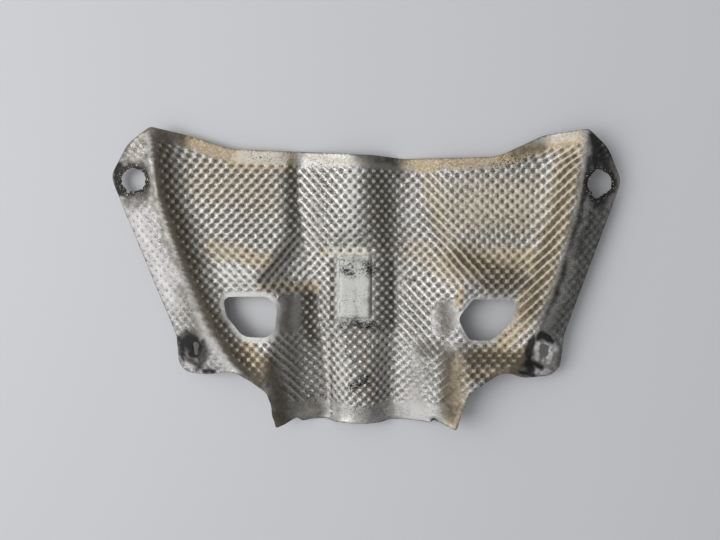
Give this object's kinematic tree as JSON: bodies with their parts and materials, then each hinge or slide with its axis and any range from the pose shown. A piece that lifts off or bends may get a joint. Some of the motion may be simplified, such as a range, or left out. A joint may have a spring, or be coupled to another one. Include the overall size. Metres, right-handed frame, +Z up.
{
  "type": "exhaust heat shield",
  "caption": "Pressed sheet of embossed aluminium with sloping side flanges, a raised centre rib, window cut-outs and corroded fixing holes, made to shield a car floor from exhaust heat.",
  "frame": {"origin": "bottom centre of the box of the part lying on its back, worn face up", "axes": "+X across the shield towards its torn bolt hole, +Y from the two fangs to the eared edge, +Z up, out of the worn face"},
  "size_m": [0.4708, 0.2836, 0.0321],
  "materials": {
    "embossed_aluminium": "embossed, weathered and stained"
  },
  "bodies": {
    "root": {"heat_shield": "embossed_aluminium"}
  },
  "joints": []
}
